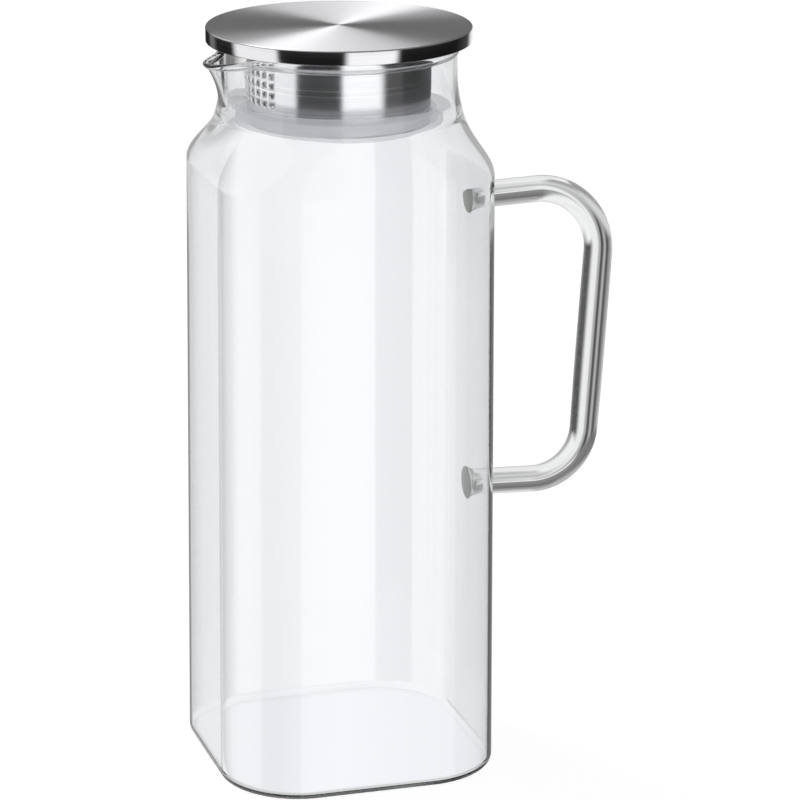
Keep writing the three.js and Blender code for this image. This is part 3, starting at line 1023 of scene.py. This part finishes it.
# Seen through the upright grip, which turns it round
grip = panels([
    (-180, 0.92), (-163, 0.9), (-149, 0.22), (-128, 0.8), (-95, 0.5), (-75, 0.6), (-62, 0.9), (-54, 0.6),
    (-46, 0.34), (-36, 0.28), (-29, 0.1), (-23, 0.08), (-17, 0.42), (-13, 0.36), (-10, 0.06), (-5, 0.04),
    (-3, 0.34), (2, 0.5), (4, 0.88), (15, 0.9), (19, 0.7), (23, 0.3), (27, 0.08), (31, 0.02), (50, 0.01),
    (65, 0.06), (96, 0.1), (110, 0.4), (128, 0.85), (146, 0.18), (160, 0.9),
])
# Seen through the level arms and the bends
arm_left = layers([
    (-1, 0.25), (-0.72, 0.28), (-0.6, 0.65), (-0.46, 0.7), (-0.36, 0.3), (-0.25, 0.18), (0.02, 0.15),
    (0.12, 0.25), (0.3, 0.5), (0.5, 0.55),
])
arm_middle = layers([
    (-1, 0.8), (-0.78, 0.9), (-0.7, 0.35), (-0.6, 0.4), (-0.5, 0.66), (-0.43, 0.5), (-0.37, 0.48),
    (-0.3, 0.4), (-0.23, 0.34), (-0.17, 0.26), (-0.05, 0.2), (0.14, 0.12), (0.24, 0.3), (0.5, 0.55), (0.8, 0.6),
])
arm_right = layers([(-1, 0.8), (-0.8, 0.82), (-0.6, 0.9), (0.1, 0.9), (0.5, 0.95)])
bend_side = layers([
    (-1, 0.6), (-0.55, 0.35), (-0.45, 0.22), (-0.3, 0.12), (-0.2, 0.2), (-0.1, 0.5), (0.05, 0.9),
])
arm = mix(panels([(-180, 0), (-10, 0), (-6, 1), (180, 1)]), arm_left, arm_middle)
arm = mix(panels([(-180, 0), (5, 0), (9, 1), (100, 1), (130, 0)]), arm, arm_right)
arm = mix(panels([(-180, 0), (32, 0), (50, 1), (100, 1), (130, 0)]), arm, bend_side)
rod = mix(band(-0.4, -0.31, -0.23, -0.16), arm, grip)
# Seen over the rim, through one wall of the neck
over_rim = panels([(-180, 0), (-3.4, 0), (-2.8, 1), (2.8, 1), (3.4, 0)])
over_rim = both(band(-0.222, -0.214, -0.186, -0.178), over_rim)
rod = mix(over_rim, rod, grey(0.95))
# Seen by rays that are turned back inside the wall, along the outlines of the glass
edge = panels([
    (-180, 0.2), (-128, 0.2), (-124, 0.7), (-45, 0.7), (-33, 0.65), (-28, 0.4), (-15, 0.1), (0, 0.08),
    (10, 0.04), (37, 0.04), (46, 0.3), (114, 0.3), (118, 0.7), (174, 0.7), (178, 0.2),
])
edge = mix(band(-0.25, -0.235, -0.1, -0.07), edge, grey(0.5))
edge = mix(between(height, -0.5, -0.4), grey(0.65), edge)
on_right = panels([(-180, 0), (-5, 0), (5, 1), (180, 1)])
above = mix(on_right, between(height, 0.06, 0.13), between(height, -0.01, 0.05))
edge = mix(above, edge, panels([(-180, 0.5), (-5, 0.5), (5, 0.3), (180, 0.3)]))
# Seen through both walls of the body
far = panels([
    (-180, 0.97), (-20, 0.95), (-14, 0.66), (-11, 0.58), (-9, 0.6), (-7, 0.72), (-5.4, 0.85), (-4.3, 0.92),
    (-3.1, 0.93), (-2.2, 0.935), (-1.77, 0.9), (-0.85, 0.89), (-0.58, 0.88), (-0.45, 0.92), (-0.2, 0.97),
    (0.2, 0.97), (0.3, 0.95), (0.37, 0.89), (1.2, 0.91), (1.6, 0.94), (1.9, 0.94), (2.14, 0.92), (3.4, 0.92),
    (4.4, 0.92), (5.7, 0.9), (12, 0.88), (18, 0.9), (30, 0.97),
], tint=(0.99, 0.995, 1.015))
# Falls on the silicone: broad panels before and behind it, dim sides
soft = panels([
    (-180, 1.25), (-155, 1.25), (-120, 0.05), (-55, 0.05), (-32, 0.95), (32, 0.95), (55, 0.05), (120, 0.05),
    (155, 1.25),
])
scattered = math_node(sky, "GREATER_THAN", path.outputs["Diffuse Depth"], 0.5)
far = mix(scattered, far, soft)
# Above the horizon, and low on the left, the inside of the glass meets plain light
at_side = panels([(-180, 0), (-62, 0), (-52, 1), (-24, 1), (-15, 0)])
inner = mix(both(at_side, between(height, -0.24, -0.27)), inner, grey(0.9))
inner = mix(between(height, -0.05, 0.05), inner, far)
deep = mix(between(height, -0.05, 0.05), deep, far)
# The choice, by the faces of glass crossed: none, two, three or four, and more
crossed = path.outputs["Transmission Depth"]
turned_back = math_node(sky, "GREATER_THAN", path.outputs["Glossy Depth"], 0.5)
is_two = math_node(sky, "COMPARE", crossed, 2.0, 0.5)
is_four = math_node(sky, "COMPARE", crossed, 3.5, 0.9)
is_more = math_node(sky, "GREATER_THAN", crossed, 4.5)
light = mix(both(turned_back, path.outputs["Is Singular Ray"]), studio, gleam)
light = mix(is_two, light, mix(turned_back, rod, edge))
light = mix(is_four, light, mix(turned_back, far, inner))
light = mix(is_more, light, mix(turned_back, rod, deep))
light = mix(path.outputs["Is Camera Ray"], light, grey(1.0))
sky_shader = add_node(sky, "ShaderNodeBackground")
sky.links.new(light, sky_shader.inputs["Color"])
sky_output = add_node(sky, "ShaderNodeOutputWorld")
sky.links.new(sky_shader.outputs[0], sky_output.inputs["Surface"])

# Overhead softbox, which lights the lid's top alone
SOFTBOX_COMPASS = math.radians(-40)
SOFTBOX_ELEVATION = math.radians(63)
SOFTBOX_DISTANCE = 1200.0
SOFTBOX_SIDES = (1.9, 0.7)
SOFTBOX_WATTS = 12.0
top_data = bpy.data.lights.new("top_softbox", "AREA")
top_data.shape = "RECTANGLE"
top_data.size, top_data.size_y = SOFTBOX_SIDES
top_data.energy = SOFTBOX_WATTS
top_light = bpy.data.objects.new("top_softbox", top_data)
bpy.context.scene.collection.objects.link(top_light)
heading = level_forward * math.cos(SOFTBOX_COMPASS) + right * math.sin(SOFTBOX_COMPASS)
outwards = heading * math.cos(SOFTBOX_ELEVATION) + Vector((0, 0, 1)) * math.sin(SOFTBOX_ELEVATION)
top_light.location = (Vector((0, 0, LID_TOP)) + outwards * SOFTBOX_DISTANCE) * MM
top_light.rotation_euler = (-outwards).to_track_quat("-Z", "Y").to_euler()
top_light.visible_camera = False
top_light.visible_transmission = False
lid_only = bpy.data.collections.new("lid_only")
lid_only.objects.link(lid)
top_light.light_linking.receiver_collection = lid_only

bpy.context.scene.view_settings.view_transform = "Standard"
# Light runs on inside the glass for many turns before it comes out
bpy.context.scene.cycles.max_bounces = 24
bpy.context.scene.cycles.glossy_bounces = 16
bpy.context.scene.cycles.transmission_bounces = 24
